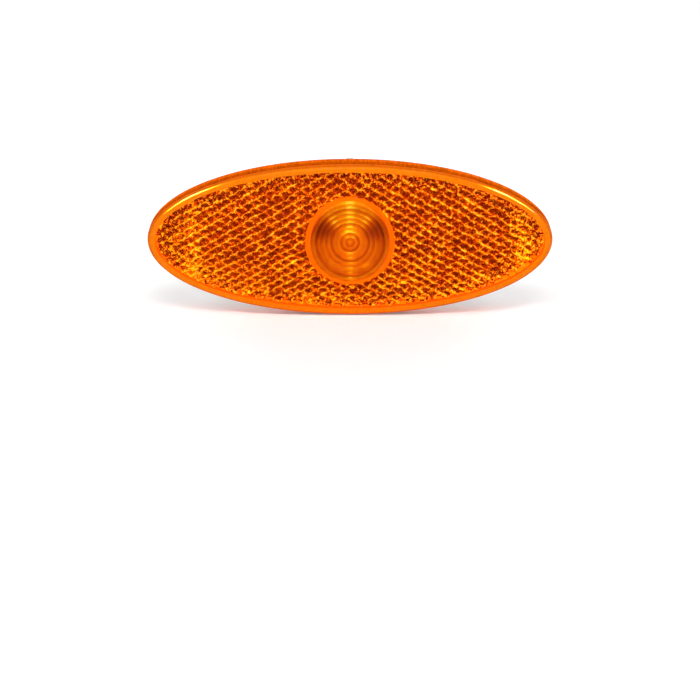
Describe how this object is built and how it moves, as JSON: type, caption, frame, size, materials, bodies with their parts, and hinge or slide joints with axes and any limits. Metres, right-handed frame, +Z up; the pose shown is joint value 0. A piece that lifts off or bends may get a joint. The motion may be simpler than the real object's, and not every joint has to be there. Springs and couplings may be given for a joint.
{
  "type": "side marker lamp",
  "caption": "Oval amber side marker lamp with reflex prisms and a ring lens, a pale back plate and tube, a hook tab, a spring clip and a twist-in bulb holder.",
  "frame": {"origin": "centre of the rim's back face, which lies against the body panel", "axes": "+X along the lamp's length towards the hook tab, +Y backwards through the panel along the tube, +Z up"},
  "size_m": [0.1, 0.052, 0.0384],
  "materials": {
    "amber_plastic": "clear amber, polished",
    "pale_grey_plastic": "satin as moulded",
    "spring_steel": "bright rolled strip",
    "black_plastic": "fine grain",
    "seal_rubber": "matt",
    "terminal_brass": "bare",
    "bulb_glass": "clear"
  },
  "bodies": {
    "lamp": {"lens": "amber_plastic", "housing": "pale_grey_plastic", "spring_clip": "spring_steel"},
    "holder": {"bulb_holder": "black_plastic", "holder_seal": "seal_rubber", "terminal_left": "terminal_brass", "terminal_right": "terminal_brass", "bulb": "bulb_glass"}
  },
  "joints": [
    {"name": "holder_twist", "type": "hinge", "parent": "lamp", "child": "holder", "pos_m": [0, 0, 0], "axis": [0, 1, 0], "range_deg": [0, 45]}
  ]
}
